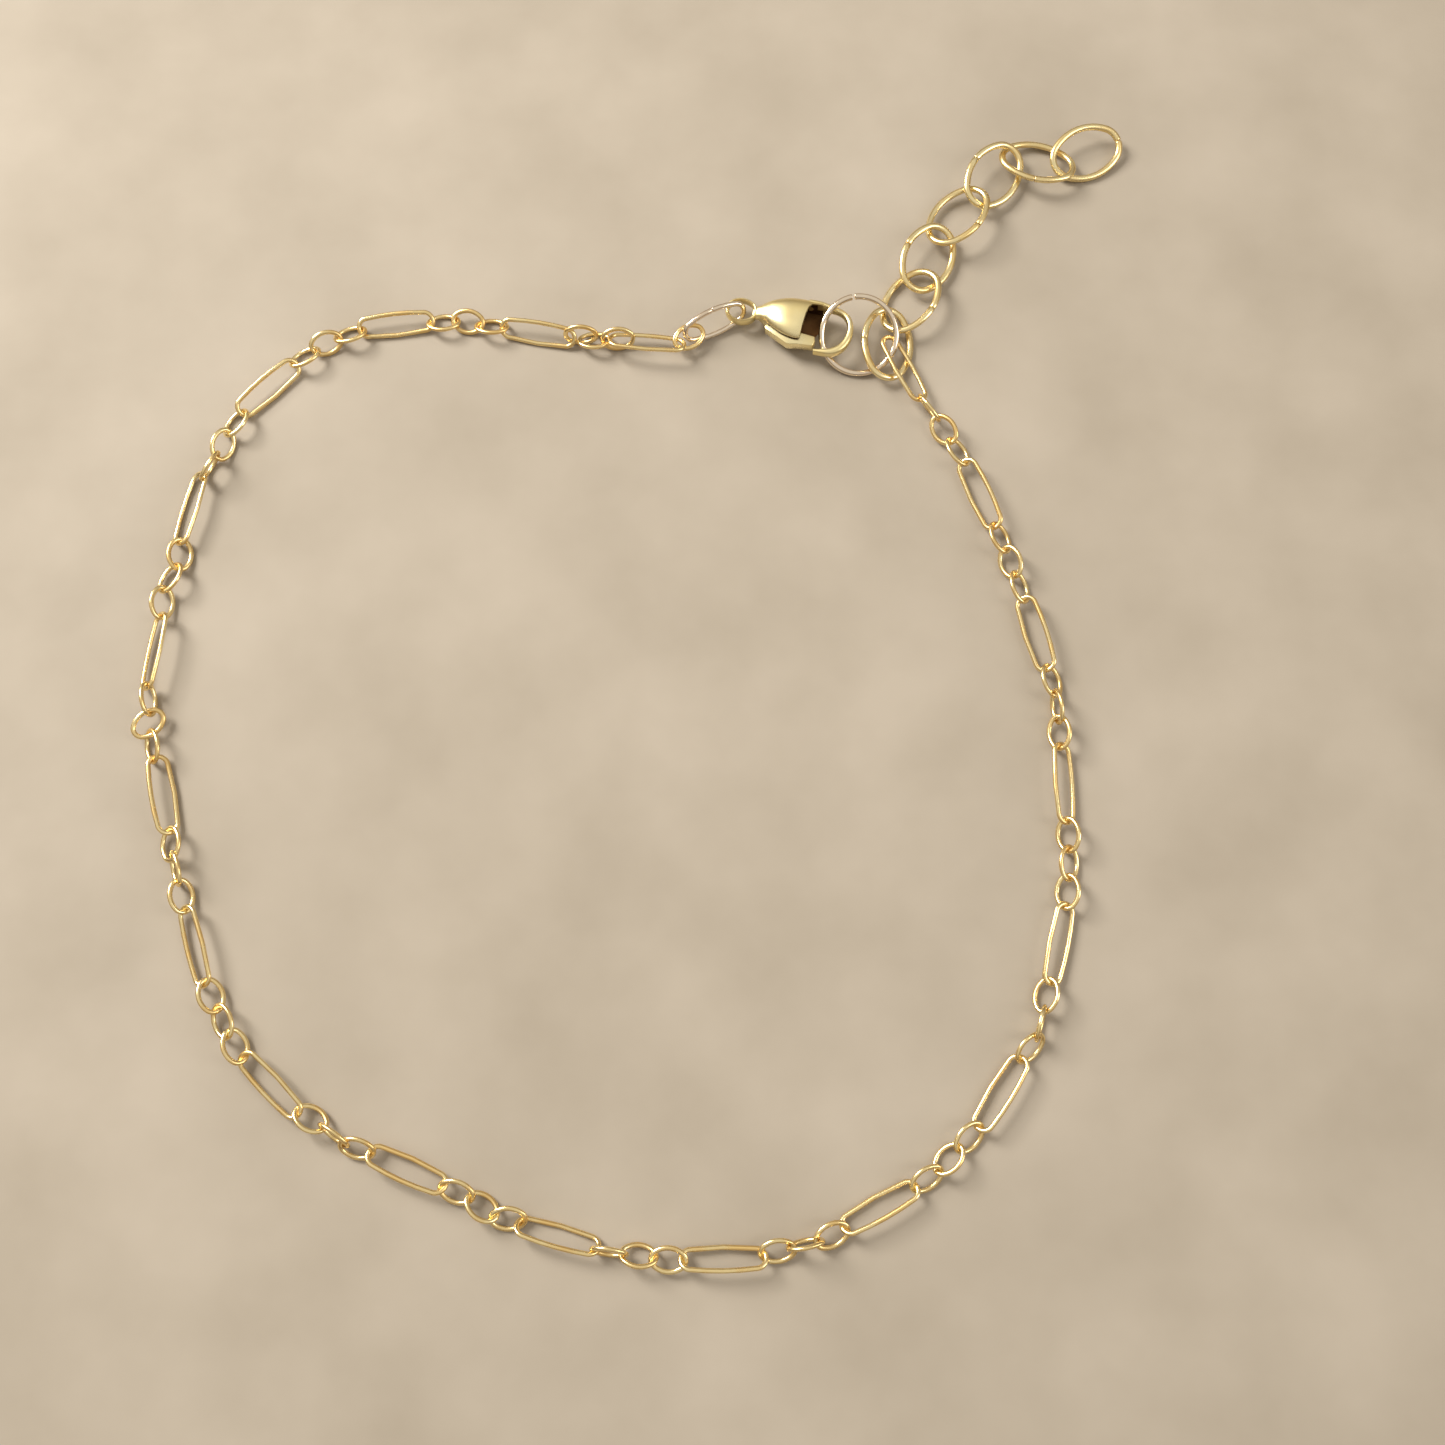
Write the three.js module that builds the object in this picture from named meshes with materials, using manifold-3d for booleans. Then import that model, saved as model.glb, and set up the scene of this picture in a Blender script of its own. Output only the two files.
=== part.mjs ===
// A fine gold chain bracelet, closed on its clasp and laid out flat in a wide loop, in millimetres.
// Long links alternate with groups of three small ones. A lobster clasp hooks into a big jump ring,
// which also carries the chain's far end and an extender of seven oval links.
// The floor is z = 0, +Y is away from the viewer and the origin is the middle of the footprint.
import * as THREE from 'three';
import { mergeVertices } from 'three/addons/utils/BufferGeometryUtils.js';
import Module from 'manifold-3d';

const wasm = await Module();
wasm.setup();

// Links: outer length and width, wire diameter, and the facets along the link and round the wire.
const SMALL_LINK = { length: 2.36, width: 1.72, wire: 0.28, steps: 10, sides: 5 };
const LONG_LINK = { length: 5.34, width: 1.7, wire: 0.28, steps: 14, sides: 5, straight: true };
const EXTENDER_LINK = { length: 5.4, width: 3.8, wire: 0.42, steps: 16, sides: 6 };
const OVAL_RING = { length: 4.75, width: 2.2, wire: 0.36, steps: 16, sides: 6 };
const JUMP_RING = { length: 5.5, width: 5.5, wire: 0.42, steps: 30, sides: 6, cut: 0.08, cutAngle: 100 };

// Where each link lies: x, y, heading along its length and roll about it (positive: left side up),
// in mm and degrees. A row is one long link and the three small links that follow it.
const FIRST_LINK = [2.8, 22.1, -150, -15];
const CHAIN_ROWS = [
  [[0.3, 21.9, 175, 25], [-1.9, 22.2, -176, -55], [-3.6, 22.2, -178, 25], [-4.5, 22.4, 179, -70]],
  [[-7.5, 22.7, 170, -40], [-10.7, 23.2, 178, 30], [-12.3, 23.6, 171, -25], [-14, 23.5, -176, 25]],
  [[-17.2, 23.4, -173, -30], [-20.3, 22.6, -162, 30], [-21.9, 21.9, -157, -45], [-23.3, 20.9, -148, 30]],
  [[-25.6, 18.7, -135, -35], [-27.6, 16.1, -122, 30], [-28.4, 14.5, -106, -45], [-29, 13, -118, 75]],
  [[-30.2, 10, -102, 30], [-30.4, 6.7, -88, -30], [-31.2, 5.4, -118, 30], [-31.5, 3.6, -91, -45]],
  [[-31.7, 0.3, -97, 40], [-31.9, -3, -81, -75], [-31.8, -4.7, -138, -15], [-31.1, -6, -78, 45]],
  [[-30.3, -9.2, -76, -30], [-29.6, -12.4, -87, 30], [-29.3, -14, -73, 60], [-28.5, -15.8, -78, -40]],
  [[-27.5, -18.7, -72, 30], [-26.5, -22, -69, -30], [-25.5, -23.6, -69, 30], [-24.6, -25.2, -68, -35]],
  [[-22.1, -27.1, -44, 20], [-19.7, -29.1, -31, -30], [-18.2, -29.9, -34, 70], [-16.6, -30.6, -12, 40]],
  [[-13.7, -32, -23, -20], [-10.6, -33.4, -17, 30], [-9.1, -34.2, -37, -30], [-7.5, -34.7, -1, 30]],
  [[-4.7, -35.9, -15, -40], [-1.4, -36.8, -8, 70], [0.3, -37, -7, -40], [2, -37.3, -4, 15]],
  [[5.2, -37.1, 1, -30], [8.3, -36.6, 8, 30], [10.1, -36.2, 11, -80], [11.6, -35.7, 27, 25]],
  [[14.4, -34.2, 28, -30], [17.3, -32.6, 32, 35], [18.6, -31.4, 46, -35], [19.9, -30.2, 46, 30]],
  [[22, -27.6, 56, -25], [23.7, -25.1, 45, 40], [24.5, -23.6, 73, 75], [24.9, -21.8, 73, -35]],
  [[25.9, -18.7, 76, 25], [26.7, -15.5, 84, -35], [26.9, -13.7, 85, 35], [26.9, -11.8, 92, -40]],
  [[26.7, -8.7, 91, 30], [26.6, -5.3, 92, -40], [26.6, -3.5, 96, -80], [26.3, -1.9, 103, 35]],
  [[25.5, 1.3, 105, -25], [24.6, 4.4, 103, 40], [24.1, 6.3, 106, -40], [23.3, 7.8, 109, 35]],
  [[22.3, 10.9, 112, -30], [20.9, 13.7, 119, 35], [19.9, 15.3, 124, -30], [18.7, 16.7, 125, 75]],
  [[17.3, 19.6, 116, 22]],
];
const EXTENDER_ROWS = [
  [16.8, 21.7, 86, 18], [18.4, 25.2, 59, -18], [19.2, 28.1, 62, 18], [21.3, 31.3, 52, -18],
  [23.8, 34.5, 54, 18], [27.3, 35.7, -13, -15], [30.9, 36.6, 23, 18],
];
// Links held off the floor by their neighbours: place in the chain and height, mm.
const HELD_UP = { 0: 0.2, 1: 0.2, 23: 0.35, 73: 0.1 };

// Both rings lean on what they join: x, y, height of the middle, heading and roll.
const JUMP_RING_AT = { place: [14.35, 22.23, 1.16], heading: 0, roll: 22 };
const OVAL_RING_AT = { place: [4.56, 23.32, 0.98], heading: 26, roll: 60 };

// Settling: metal touches in the chain, separate pieces keep a small gap, mm.
const PATH_POINTS = 64;
const SETTLE_PASSES = 80;
const TOUCH = 0.01;
const PIECE_GAP = 0.11;
const CONTACT_BAR = 0.05;

// Clasp, along x from the eye to the hook's bend, mm and degrees. Its outlines lie in its middle plane.
const CLASP_AT = { place: [6.4, 24.24, 0.92], heading: -12.8, rise: 3.2 };
const EYE_MIDDLE = [0.03, -0.13];
const EYE_OUTER = [1.13, 0.92];
const EYE_HOLE = [0.91, 0.7];
const EYE_THICK = 0.56;
const NECK_THICK = 0.8;
const HOOK_THICK = 0.62;
const HOOK_ROUND = 0.12;
const SHELL_THICK = 2.0;
const SHELL_ROUND = 0.3;
const SPINE_THICK = 1.5;
const SPINE_ROUND = 0.1;
const SLOT_THICK = 1.0;
const LEVER_THICK = 0.74;
const LEVER_ROUND = 0.08;
const PIVOT = [2.9, -1.0];
const PIN_RADIUS = 0.16;
const PIN_HOLE = 0.23;
const PIN_LENGTH = 1.6;
const CURVE_POINTS = 20;

const SHELL_LINE = [
  [1.25, 0.42], [1.7, 0.76], [2.3, 1.06], [3.0, 1.28], [3.8, 1.38], [4.5, 1.38], [4.62, 1.0], [4.5, 0.6],
  [4.42, 0.1], [4.38, -0.8], [4.38, -1.5], [4.3, -1.78], [4.05, -1.8], [3.4, -1.68], [2.7, -1.43],
  [2.0, -1.05], [1.4, -0.5],
];
const SPINE_LINE = [[4.2, 1.36], [5.3, 1.4], [5.35, 1.02], [4.6, 0.98], [4.3, 0.9]];
const NECK_LINE = [[0.8, 0.42], [1.7, 0.7], [1.7, -0.5], [1.4, -0.44], [0.8, -0.6]];
const HOOK_OUTER = [
  [4.3, 1.38], [5.2, 1.4], [5.8, 1.38], [6.4, 1.3], [7.0, 1.12], [7.45, 0.8], [7.74, 0.2], [7.8, -0.6],
  [7.68, -1.3], [7.42, -1.85], [7.0, -2.17], [6.3, -2.3], [5.42, -2.26],
];
const HOOK_INNER = [
  [5.42, -2.0], [6.05, -1.8], [6.6, -1.64], [7.0, -1.4], [7.3, -0.9], [7.38, -0.2], [7.2, 0.4], [6.85, 0.76],
  [6.3, 0.98], [5.8, 1.02], [5.2, 1.0], [4.3, 0.98],
];
const LEVER_LINE = [
  [2.6, -0.5], [3.4, -0.6], [4.4, -1.08], [5.32, -1.18], [5.42, -1.5], [5.34, -1.9], [4.2, -1.96],
  [3.8, -2.05], [3.55, -2.06], [2.7, -1.64], [1.9, -1.25], [1.86, -1.0],
];
const SLOT_LINE = [
  [1.7, -3], [1.7, -0.5], [2.3, 0.1], [3.2, 0.45], [3.9, 0.9], [4.3, 0.98], [6, 0.98], [6, -3],
];

const GOLD = { color: 0xd8ad62, metalness: 1, roughness: 0.22 };
const PALE_GOLD = { color: 0xd9c7a6, metalness: 1, roughness: 0.3 };

const radians = THREE.MathUtils.degToRad;

/** A link's middle line in its own plane: an oval, or straight sides with round ends. */
class LinkLine extends THREE.Curve {
  constructor(link) {
    super();
    this.long = (link.length - link.wire) / 2;
    this.wide = (link.width - link.wire) / 2;
    this.straight = link.straight === true;
  }

  getPoint(t, target = new THREE.Vector3()) {
    const angle = t * 2 * Math.PI;
    if (!this.straight) {
      return target.set(Math.cos(angle) * this.long, Math.sin(angle) * this.wide, 0);
    }
    const side = this.long - this.wide;
    const total = 4 * side + 2 * Math.PI * this.wide;
    let run = t * total;
    if (run < 2 * side) return target.set(run - side, -this.wide, 0);
    run -= 2 * side;
    const end = Math.PI * this.wide;
    if (run < end) return this.roundEnd(target, side, -Math.PI / 2 + run / this.wide);
    run -= end;
    if (run < 2 * side) return target.set(side - run, this.wide, 0);
    run -= 2 * side;
    return this.roundEnd(target, -side, Math.PI / 2 + run / this.wide);
  }

  roundEnd(target, middle, angle) {
    return target.set(middle + this.wide * Math.cos(angle), this.wide * Math.sin(angle), 0);
  }
}

/** The rotation of a piece with this heading and roll: x along it, y to its raised or lowered side. */
function turned(heading, roll, rise = 0) {
  const aim = new THREE.Euler(radians(roll), -radians(rise), radians(heading), 'ZYX');
  return new THREE.Matrix4().makeRotationFromEuler(aim);
}

/** One laid link: its size, turn, middle line and centre, resting on the floor plus a lift. */
function laidLink(size, [x, y, heading, roll], lift = 0) {
  const turn = turned(heading, roll);
  const line = new LinkLine(size);
  const path = [];
  for (let i = 0; i < PATH_POINTS; i += 1) {
    path.push(line.getPoint(i / PATH_POINTS).applyMatrix4(turn));
  }
  const half = (size.width - size.wire) / 2;
  const rest = size.wire / 2 + half * Math.abs(Math.sin(radians(roll)));
  return { size, turn, line, path, rest, centre: new THREE.Vector3(x, y, rest + lift), fixed: false };
}

/** A ring that stays where it is put while the links settle against it. */
function fixedRing(size, at) {
  const ring = laidLink(size, [at.place[0], at.place[1], at.heading, at.roll]);
  ring.centre.z = at.place[2];
  ring.fixed = true;
  return ring;
}

/** The nearest points of two links' middle lines and the way between them. */
function nearest(a, b) {
  const offset = new THREE.Vector3().subVectors(b.centre, a.centre);
  let best = Infinity;
  let from = null;
  let to = null;
  for (const p of a.path) {
    for (const q of b.path) {
      const x = q.x + offset.x - p.x;
      const y = q.y + offset.y - p.y;
      const z = q.z + offset.z - p.z;
      const square = x * x + y * y + z * z;
      if (square < best) {
        best = square;
        from = p;
        to = q;
      }
    }
  }
  return { from: from.clone().add(a.centre), to: to.clone().add(b.centre), distance: Math.sqrt(best) };
}

/** Push links apart until no pair is nearer than it may be, keeping every link on the floor. */
function settle(pairs) {
  for (let pass = 0; pass < SETTLE_PASSES; pass += 1) {
    for (const { a, b, gap } of pairs) {
      const least = (a.size.wire + b.size.wire) / 2 + gap;
      const { from, to, distance } = nearest(a, b);
      if (distance >= least) continue;
      const push = to.sub(from).multiplyScalar((least - distance) / Math.max(distance, 1e-6));
      if (!a.fixed) a.centre.addScaledVector(push, b.fixed ? -1 : -0.5);
      if (!b.fixed) b.centre.addScaledVector(push, a.fixed ? 1 : 0.5);
      for (const link of [a, b]) {
        if (!link.fixed) link.centre.z = Math.max(link.centre.z, link.rest);
      }
    }
  }
}

/** Only positions, with shared vertices merged, so that a closed tube closes. */
function welded(geometry) {
  geometry.deleteAttribute('normal');
  geometry.deleteAttribute('uv');
  return mergeVertices(geometry, 1e-4);
}

function solid(geometry) {
  const closed = welded(geometry);
  return new wasm.Manifold(new wasm.Mesh({
    numProp: 3,
    vertProperties: new Float32Array(closed.attributes.position.array),
    triVerts: new Uint32Array(closed.index.array),
  }));
}

function geometryOf(manifold) {
  const mesh = manifold.getMesh();
  const geometry = new THREE.BufferGeometry();
  geometry.setAttribute('position', new THREE.BufferAttribute(mesh.vertProperties, 3));
  geometry.setIndex(new THREE.BufferAttribute(mesh.triVerts, 1));
  return geometry;
}

function named(name, geometry, finish) {
  geometry.computeVertexNormals();
  const mesh = new THREE.Mesh(geometry, new THREE.MeshStandardMaterial({ ...finish, flatShading: true }));
  mesh.name = name;
  return mesh;
}

/** The closed tube of a link in its own plane. */
function linkTube({ line, size }) {
  return new THREE.TubeGeometry(line, size.steps, size.wire / 2, size.sides, true);
}

/** A link's tube where the link lies. */
function laidTube(link) {
  return linkTube(link).applyMatrix4(link.turn.clone().setPosition(link.centre));
}

/** A short bar that joins two touching links into one body. */
function contactBar(a, b) {
  const { from, to, distance } = nearest(a, b);
  const bar = new THREE.CylinderGeometry(CONTACT_BAR, CONTACT_BAR, distance + 2 * CONTACT_BAR, 3);
  const along = to.clone().sub(from).normalize();
  const turn = new THREE.Quaternion().setFromUnitVectors(new THREE.Vector3(0, 1, 0), along);
  return bar.applyQuaternion(turn).translate(...from.add(to).multiplyScalar(0.5).toArray());
}

/** All the links as one body, with a bar wherever two neighbours don't quite meet. */
function chainNode(links) {
  const tubes = links.map((link) => solid(laidTube(link)));
  let body = tubes[0];
  tubes.slice(1).forEach((tube, i) => {
    if (tube.intersect(tubes[i]).isEmpty()) body = body.add(solid(contactBar(links[i], links[i + 1])));
    body = body.add(tube);
  });
  return named('chain', geometryOf(body), GOLD);
}

function placed(mesh, link) {
  mesh.position.copy(link.centre);
  mesh.quaternion.setFromRotationMatrix(link.turn);
  return mesh;
}

/** The big jump ring: round wire bent into a circle with its cut open by a hair. */
function jumpRingNode(ring) {
  const radius = (ring.size.length - ring.size.wire) / 2;
  const start = radians(ring.size.cutAngle);
  const sweep = 2 * Math.PI - ring.size.cut / radius;
  const arc = new THREE.Curve();
  arc.getPoint = (t) => {
    const angle = start + t * sweep;
    return new THREE.Vector3(radius * Math.cos(angle), radius * Math.sin(angle), 0);
  };
  const wire = new THREE.Shape();
  for (let i = 0; i < ring.size.sides; i += 1) {
    const angle = (i / ring.size.sides) * 2 * Math.PI;
    const point = [Math.cos(angle) * ring.size.wire / 2, Math.sin(angle) * ring.size.wire / 2];
    if (i === 0) wire.moveTo(...point);
    else wire.lineTo(...point);
  }
  const tube = new THREE.ExtrudeGeometry(wire, { steps: ring.size.steps, extrudePath: arc });
  return placed(named('jump_ring', welded(tube), PALE_GOLD), ring);
}

function outline(points) {
  return new THREE.Shape(points.map(([x, y]) => new THREE.Vector2(x, y)));
}

/** A plate of this outline, centred on the clasp's middle plane, its edges rounded by round. */
function plate(shape, thick, round = 0, steps = 1) {
  const geometry = new THREE.ExtrudeGeometry(shape, {
    depth: thick - 2 * round,
    bevelEnabled: round > 0,
    bevelThickness: round,
    bevelSize: round,
    bevelOffset: -round,
    bevelSegments: steps,
    curveSegments: CURVE_POINTS / 2,
  });
  return geometry.translate(0, 0, round - thick / 2);
}

/** A flat disc with these half axes, centred on the clasp's middle plane. */
function disc([long, wide], thick, [x, y]) {
  return new THREE.CylinderGeometry(1, 1, thick, CURVE_POINTS)
    .rotateX(Math.PI / 2)
    .scale(long, wide, 1)
    .translate(x, y, 0);
}

/** The clasp's fixed half: eye, neck, hollow shell with the lever's pin across it, spine and hook. */
function claspBodyNode() {
  const slot = solid(plate(outline(SLOT_LINE), SLOT_THICK));
  const body = solid(plate(outline(SHELL_LINE), SHELL_THICK, SHELL_ROUND, 3))
    .subtract(slot)
    .add(solid(disc([PIN_RADIUS, PIN_RADIUS], PIN_LENGTH, PIVOT)))
    .add(solid(plate(outline(NECK_LINE), NECK_THICK)))
    .add(solid(plate(outline(SPINE_LINE), SPINE_THICK, SPINE_ROUND)))
    .add(solid(plate(outline([...HOOK_OUTER, ...HOOK_INNER]), HOOK_THICK, HOOK_ROUND)))
    .add(solid(disc(EYE_OUTER, EYE_THICK, EYE_MIDDLE)))
    .subtract(solid(disc(EYE_HOLE, SHELL_THICK, EYE_MIDDLE)));
  return named('clasp_body', geometryOf(body), PALE_GOLD);
}

/** The sprung lever: gate at the hook's tip, thumb tab along the shell, turning on the pin. */
function claspLeverNode() {
  const pinHole = solid(disc([PIN_HOLE, PIN_HOLE], SHELL_THICK, PIVOT));
  const body = solid(plate(outline(LEVER_LINE), LEVER_THICK, LEVER_ROUND)).subtract(pinHole);
  return named('clasp_lever', geometryOf(body), PALE_GOLD);
}

function build() {
  const chain = [laidLink(SMALL_LINK, FIRST_LINK, HELD_UP[0])];
  for (const [long, ...small] of CHAIN_ROWS) {
    chain.push(laidLink(LONG_LINK, long, HELD_UP[chain.length] ?? 0));
    for (const row of small) chain.push(laidLink(SMALL_LINK, row, HELD_UP[chain.length] ?? 0));
  }
  const extender = EXTENDER_ROWS.map((row) => laidLink(EXTENDER_LINK, row));
  const jumpRing = fixedRing(JUMP_RING, JUMP_RING_AT);
  const ovalRing = fixedRing(OVAL_RING, OVAL_RING_AT);

  const pairs = [];
  for (const step of [1, 2]) {
    chain.slice(step).forEach((b, i) => pairs.push({ a: chain[i], b, gap: TOUCH }));
  }
  extender.slice(1).forEach((b, i) => pairs.push({ a: extender[i], b, gap: PIECE_GAP }));
  const last = chain.at(-1);
  for (const link of [extender[0], extender[1], last]) pairs.push({ a: link, b: jumpRing, gap: PIECE_GAP });
  for (const link of [chain[0], chain[1]]) pairs.push({ a: link, b: ovalRing, gap: PIECE_GAP });
  pairs.push({ a: last, b: extender[0], gap: PIECE_GAP });
  settle(pairs);

  const bracelet = new THREE.Group();
  bracelet.add(chainNode(chain), jumpRingNode(jumpRing));
  bracelet.add(placed(named('oval_ring', welded(linkTube(ovalRing)), PALE_GOLD), ovalRing));
  extender.forEach((link, i) => {
    bracelet.add(placed(named(`extender_link_${i + 1}`, welded(linkTube(link)), GOLD), link));
  });

  const clasp = new THREE.Group();
  clasp.add(claspBodyNode(), claspLeverNode());
  clasp.quaternion.setFromRotationMatrix(turned(CLASP_AT.heading, 0, CLASP_AT.rise));
  clasp.position.fromArray(CLASP_AT.place);
  bracelet.add(clasp);
  return bracelet;
}

export default build();
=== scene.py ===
"""A fine gold chain bracelet, closed on its lobster clasp and laid out flat in a wide loop.

Long links alternate with groups of three small ones. The clasp hooks into a big jump ring, which
also carries the chain's far end and an extender of seven oval links. Sizes are in millimetres and
angles in degrees; meshes are scaled to metres when they are put in place.
"""
import logging
import math
from dataclasses import dataclass, field
from enum import Enum

import bmesh
import bpy
import numpy as np
from mathutils import Matrix, Vector


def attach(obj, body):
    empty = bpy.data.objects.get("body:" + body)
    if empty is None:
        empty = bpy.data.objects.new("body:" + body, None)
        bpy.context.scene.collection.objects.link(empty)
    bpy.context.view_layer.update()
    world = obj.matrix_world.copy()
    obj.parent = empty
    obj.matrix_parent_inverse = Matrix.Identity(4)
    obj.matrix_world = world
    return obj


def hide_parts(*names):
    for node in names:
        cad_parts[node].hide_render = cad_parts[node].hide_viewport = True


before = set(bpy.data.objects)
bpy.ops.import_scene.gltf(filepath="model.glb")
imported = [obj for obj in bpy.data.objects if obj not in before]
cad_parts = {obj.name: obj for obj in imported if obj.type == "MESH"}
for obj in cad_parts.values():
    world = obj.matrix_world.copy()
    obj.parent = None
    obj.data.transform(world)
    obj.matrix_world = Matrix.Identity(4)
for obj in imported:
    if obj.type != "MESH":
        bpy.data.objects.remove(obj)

LOG = logging.getLogger("bracelet")

MM = 0.001
MERGE_GAP = 1e-4


# Links and how they lie

@dataclass(frozen=True)
class LinkSize:
    """Outer size of a bent wire link.

    Args:
        length: outer length.
        width: outer width.
        wire: wire diameter.
        end_radius: how tightly the wire's middle line bends at the two ends.
        straight: whether the link settles as a straight-sided one.
    """

    length: float
    width: float
    wire: float
    end_radius: float
    straight: bool = False

    @property
    def half_length(self) -> float:
        """Half length of the wire's middle line."""
        return (self.length - self.wire) / 2

    @property
    def half_width(self) -> float:
        """Half width of the wire's middle line."""
        return (self.width - self.wire) / 2


SMALL_LINK = LinkSize(2.36, 1.72, 0.28, 0.55)
LONG_LINK = LinkSize(5.34, 1.7, 0.28, 0.6, straight=True)
EXTENDER_LINK = LinkSize(5.4, 3.8, 0.42, 1.3)
OVAL_RING = LinkSize(4.75, 2.2, 0.36, 0.66)
JUMP_RING = LinkSize(5.5, 5.5, 0.42, 2.54)

# Where each link lies: x, y, heading along its length and roll about it (positive: left side up).
# A row is one long link and the three small links that follow it. Most of these numbers were worked out
# by a fitting program from marked points, so they are no model of how to place a chain.
FIRST_LINK = (2.8, 22.1, -150, -15)
CHAIN_ROWS = [
    [(0.3, 21.9, 175, 25), (-1.9, 22.2, -176, -55), (-3.6, 22.2, -178, 25), (-4.5, 22.4, 179, -70)],
    [(-7.5, 22.7, 170, -40), (-10.7, 23.2, 178, 30), (-12.3, 23.6, 171, -25), (-14, 23.5, -176, 25)],
    [(-17.2, 23.4, -173, -30), (-20.3, 22.6, -162, 30), (-21.9, 21.9, -157, -45), (-23.3, 20.9, -148, 30)],
    [(-25.6, 18.7, -135, -35), (-27.6, 16.1, -122, 30), (-28.4, 14.5, -106, -45), (-29, 13, -118, 75)],
    [(-30.2, 10, -102, 30), (-30.4, 6.7, -88, -30), (-31.2, 5.4, -118, 30), (-31.5, 3.6, -91, -45)],
    [(-31.7, 0.3, -97, 40), (-31.9, -3, -81, -75), (-31.8, -4.7, -138, -15), (-31.1, -6, -78, 45)],
    [(-30.3, -9.2, -76, -30), (-29.6, -12.4, -87, 30), (-29.3, -14, -73, 60), (-28.5, -15.8, -78, -40)],
    [(-27.5, -18.7, -72, 30), (-26.5, -22, -69, -30), (-25.5, -23.6, -69, 30), (-24.6, -25.2, -68, -35)],
    [(-22.1, -27.1, -44, 20), (-19.7, -29.1, -31, -30), (-18.2, -29.9, -34, 70), (-16.6, -30.6, -12, 40)],
    [(-13.7, -32, -23, -20), (-10.6, -33.4, -17, 30), (-9.1, -34.2, -37, -30), (-7.5, -34.7, -1, 30)],
    [(-4.7, -35.9, -15, -40), (-1.4, -36.8, -8, 70), (0.3, -37, -7, -40), (2, -37.3, -4, 15)],
    [(5.2, -37.1, 1, -30), (8.3, -36.6, 8, 30), (10.1, -36.2, 11, -80), (11.6, -35.7, 27, 25)],
    [(14.4, -34.2, 28, -30), (17.3, -32.6, 32, 35), (18.6, -31.4, 46, -35), (19.9, -30.2, 46, 30)],
    [(22, -27.6, 56, -25), (23.7, -25.1, 45, 40), (24.5, -23.6, 73, 75), (24.9, -21.8, 73, -35)],
    [(25.9, -18.7, 76, 25), (26.7, -15.5, 84, -35), (26.9, -13.7, 85, 35), (26.9, -11.8, 92, -40)],
    [(26.7, -8.7, 91, 30), (26.6, -5.3, 92, -40), (26.6, -3.5, 96, -80), (26.3, -1.9, 103, 35)],
    [(25.5, 1.3, 105, -25), (24.6, 4.4, 103, 40), (24.1, 6.3, 106, -40), (23.3, 7.8, 109, 35)],
    [(22.3, 10.9, 112, -30), (20.9, 13.7, 119, 35), (19.9, 15.3, 124, -30), (18.7, 16.7, 125, 75)],
    [(17.3, 19.6, 116, 22)],
]
EXTENDER_ROWS = [
    (16.8, 21.7, 86, 18), (18.4, 25.2, 59, -18), (19.2, 28.1, 62, 18), (21.3, 31.3, 52, -18),
    (23.8, 34.5, 54, 18), (27.3, 35.7, -13, -15), (30.9, 36.6, 23, 18),
]
# Links held off the floor by their neighbours: place in the chain and height.
HELD_UP = {0: 0.2, 1: 0.2, 23: 0.35, 73: 0.1}

# Both rings lean on what they join.
JUMP_RING_PLACE = (14.35, 22.23, 1.16)
JUMP_RING_TURN = (0.0, 22.0)
OVAL_RING_PLACE = (4.56, 23.32, 0.98)
OVAL_RING_TURN = (26.0, 60.0)

# The clasp, along x from the eye's centre to the hook's bend.
CLASP_PLACE = (6.4, 24.24, 0.92)
CLASP_HEADING = -12.8
CLASP_RISE = 3.2

# Settling: chain links nearly touch, separate pieces keep a bigger gap.
PATH_POINTS = 64
SETTLE_PASSES = 80
LEAST_DISTANCE = 1e-6
TOUCH = 0.01
PIECE_GAP = 0.11


def turned(heading: float, roll: float, rise: float = 0.0) -> Matrix:
    """Turn of a piece with this heading, roll and rise.

    Args:
        heading: direction of its length on the floor.
        roll: turn about its length, positive for the left side up.
        rise: slope of its length, positive for the far end up.

    Returns:
        The rotation as a 4 by 4 matrix.
    """
    return (
        Matrix.Rotation(math.radians(heading), 4, "Z")
        @ Matrix.Rotation(-math.radians(rise), 4, "Y")
        @ Matrix.Rotation(math.radians(roll), 4, "X")
    )


def middle_line(size: LinkSize) -> np.ndarray:
    """Points of a link's middle line in its own plane, evenly spaced in its parameter.

    Args:
        size: the link.

    Returns:
        An array of PATH_POINTS rows of x, y, z.
    """
    half_long, half_wide = size.half_length, size.half_width
    part = np.arange(PATH_POINTS) / PATH_POINTS
    if not size.straight:
        angle = part * 2 * math.pi
        return np.stack([np.cos(angle) * half_long, np.sin(angle) * half_wide, angle * 0], axis=1)
    side = half_long - half_wide
    end = math.pi * half_wide
    points = []
    for run in part * (4 * side + 2 * end):
        if run < 2 * side:
            points.append((run - side, -half_wide, 0.0))
        elif run < 2 * side + end:
            angle = -math.pi / 2 + (run - 2 * side) / half_wide
            points.append((side + half_wide * math.cos(angle), half_wide * math.sin(angle), 0.0))
        elif run < 4 * side + end:
            points.append((3 * side + end - run, half_wide, 0.0))
        else:
            angle = math.pi / 2 + (run - 4 * side - end) / half_wide
            points.append((-side + half_wide * math.cos(angle), half_wide * math.sin(angle), 0.0))
    return np.array(points)


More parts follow.
